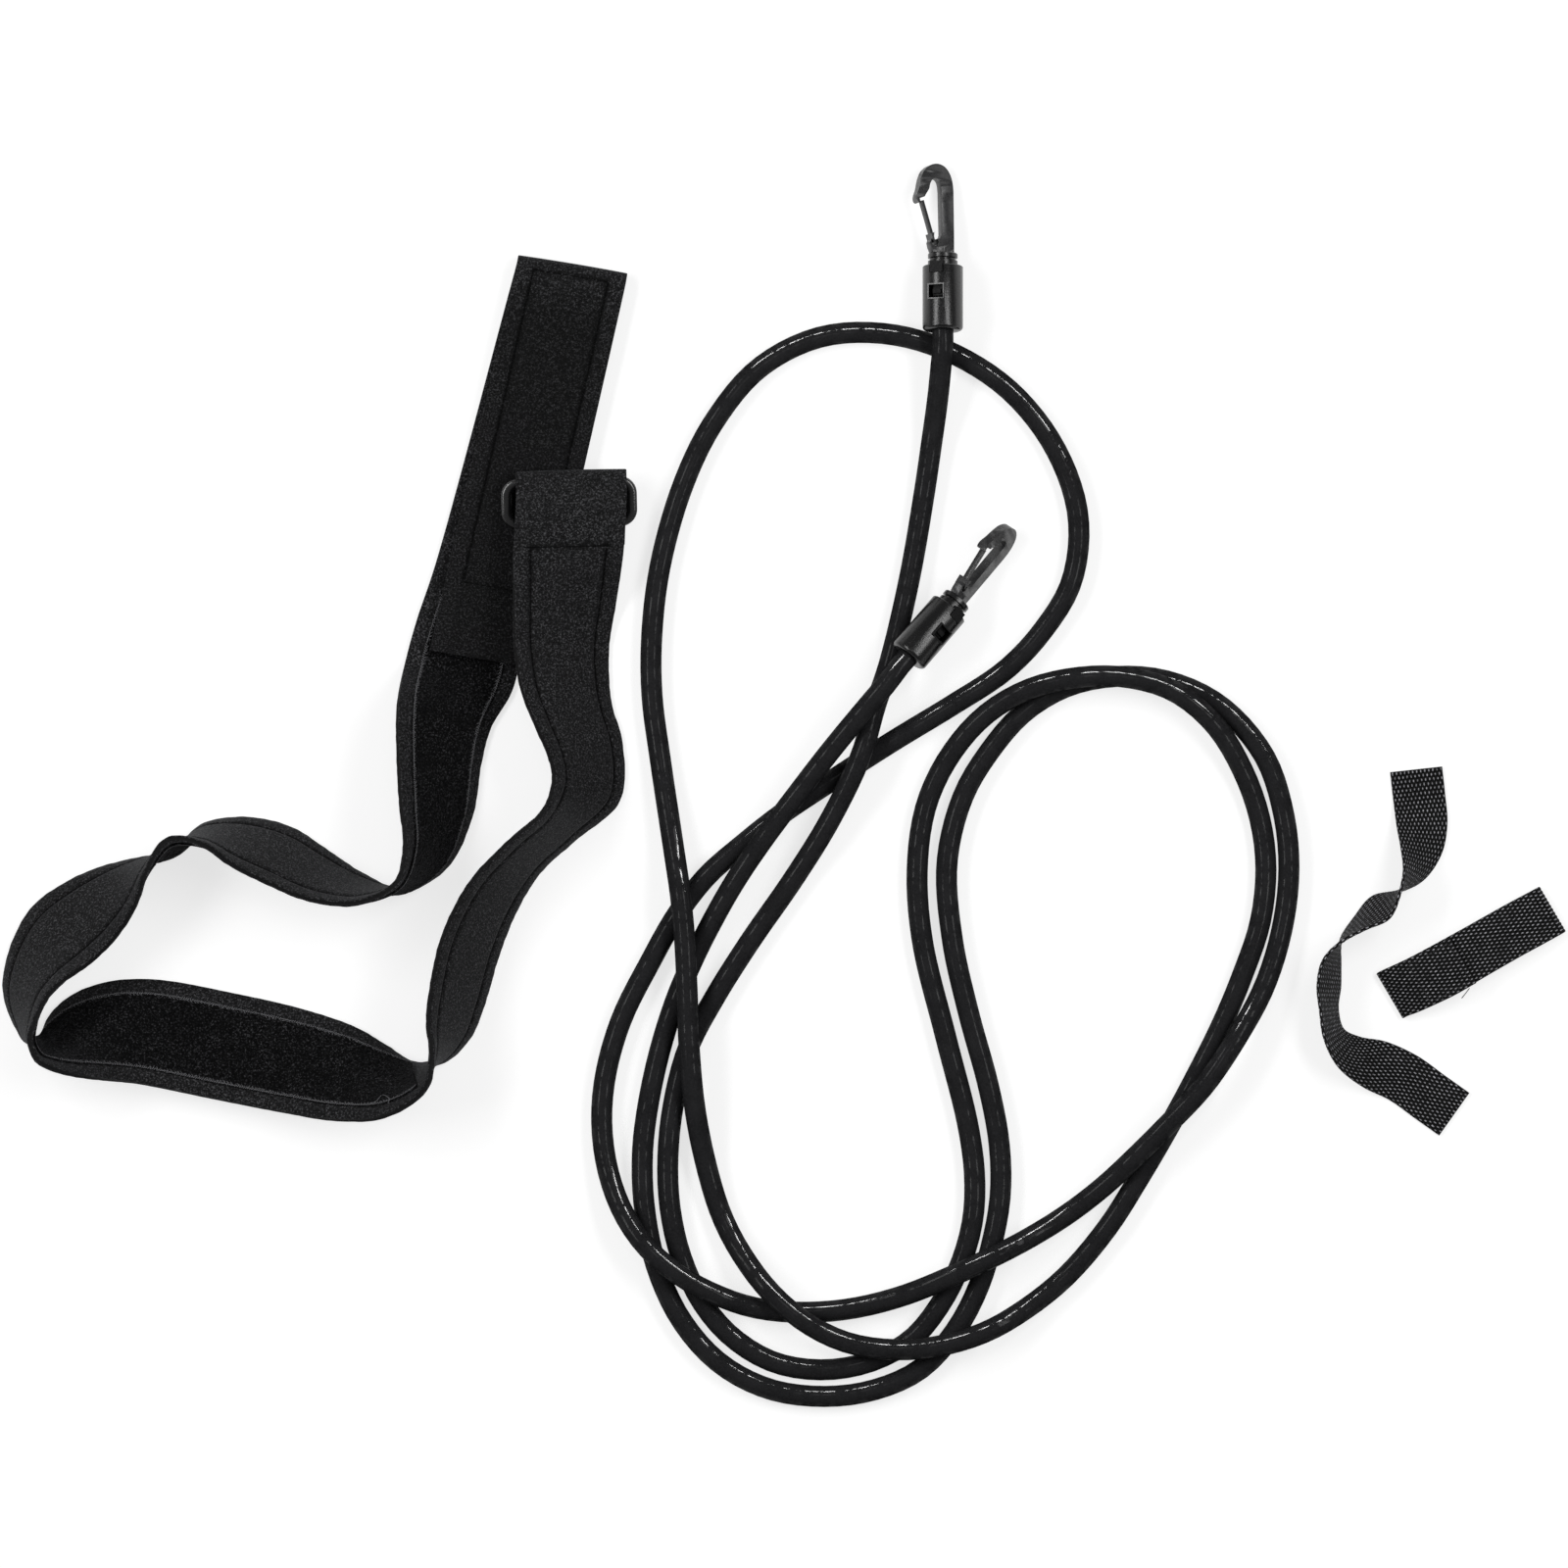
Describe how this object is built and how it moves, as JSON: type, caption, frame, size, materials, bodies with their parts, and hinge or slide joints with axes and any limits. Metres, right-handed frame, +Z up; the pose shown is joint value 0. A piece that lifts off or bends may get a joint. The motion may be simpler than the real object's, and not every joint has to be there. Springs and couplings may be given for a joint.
{
  "type": "stationary swim tether",
  "caption": "Waist belt with a ring, a long rubber tube with swivelling snap hooks, and webbing anchors, laid out flat.",
  "frame": {"origin": "centre of the footprint of the belt, fittings and anchors, on the floor they lie on", "axes": "+X from the belt towards the anchors, +Y from the tube's lower loop towards hook a, +Z up from the floor"},
  "size_m": [0.7343, 0.5835, 0.0522],
  "materials": {
    "belt_jersey": "matte knit over foam",
    "pile_tape": "fuzzy loop pile",
    "hook_tape": "stiff hook tape",
    "ring_plastic": "satin",
    "tether_rubber": "smooth latex tube",
    "barrel_plastic": "semi-gloss moulding",
    "hook_plastic": "satin moulding",
    "plug_plastic": "satin",
    "anchor_webbing": "coarse woven webbing"
  },
  "bodies": {
    "belt": {"belt_band": "belt_jersey", "belt_pile_tape": "pile_tape", "belt_hook_tape": "hook_tape"},
    "ring": {"belt_ring": "ring_plastic"},
    "tether": {"tether_tube": "tether_rubber", "barrel_a": "barrel_plastic", "barrel_b": "barrel_plastic", "swivel_seat_a": "hook_plastic", "swivel_seat_b": "hook_plastic", "tube_plug_a": "plug_plastic", "tube_plug_b": "plug_plastic"},
    "hook_a": {"snap_hook_a": "hook_plastic"},
    "gate_a": {"hook_gate_a": "hook_plastic"},
    "hook_b": {"snap_hook_b": "hook_plastic"},
    "gate_b": {"hook_gate_b": "hook_plastic"},
    "strip": {"anchor_strap": "anchor_webbing"},
    "loop": {"anchor_loop": "anchor_webbing"}
  },
  "joints": [
    {"name": "ring_swing", "type": "hinge", "parent": "belt", "child": "ring", "pos_m": [-0.1012, 0.07889, 0.0146], "axis": [-0.9997, -0.0262, 0], "range_deg": [0, 4]},
    {"name": "tether_lift", "type": "slide", "parent": "belt", "child": "tether", "axis": [0, 0, 1], "range_m": [0, 0.3]},
    {"name": "hook_a_swivel", "type": "hinge", "parent": "tether", "child": "hook_a", "pos_m": [0.07452, 0.18617, 0.00977], "axis": [0, 0.9848, -0.1736], "continuous": true},
    {"name": "gate_a_open", "type": "hinge", "parent": "hook_a", "child": "gate_a", "pos_m": [0.06999, 0.19106, 0.01105], "axis": [-0.4226, -0.1574, -0.8925], "range_deg": [0, 20], "stiffness_Nm_per_rad": 0.02, "springref_deg": -5.73},
    {"name": "hook_b_swivel", "type": "hinge", "parent": "tether", "child": "hook_b", "pos_m": [0.08156, 0.02398, 0.01229], "axis": [0.6354, 0.7413, -0.2164], "continuous": true},
    {"name": "gate_b_open", "type": "hinge", "parent": "hook_b", "child": "gate_b", "pos_m": [0.08307, 0.02981, 0.01544], "axis": [-0.7185, 0.4648, -0.5174], "range_deg": [0, 20], "stiffness_Nm_per_rad": 0.02, "springref_deg": -5.73},
    {"name": "strip_lift", "type": "slide", "parent": "belt", "child": "strip", "axis": [0, 0, 1], "range_m": [0, 0.3]},
    {"name": "loop_lift", "type": "slide", "parent": "belt", "child": "loop", "axis": [0, 0, 1], "range_m": [0, 0.3]}
  ]
}
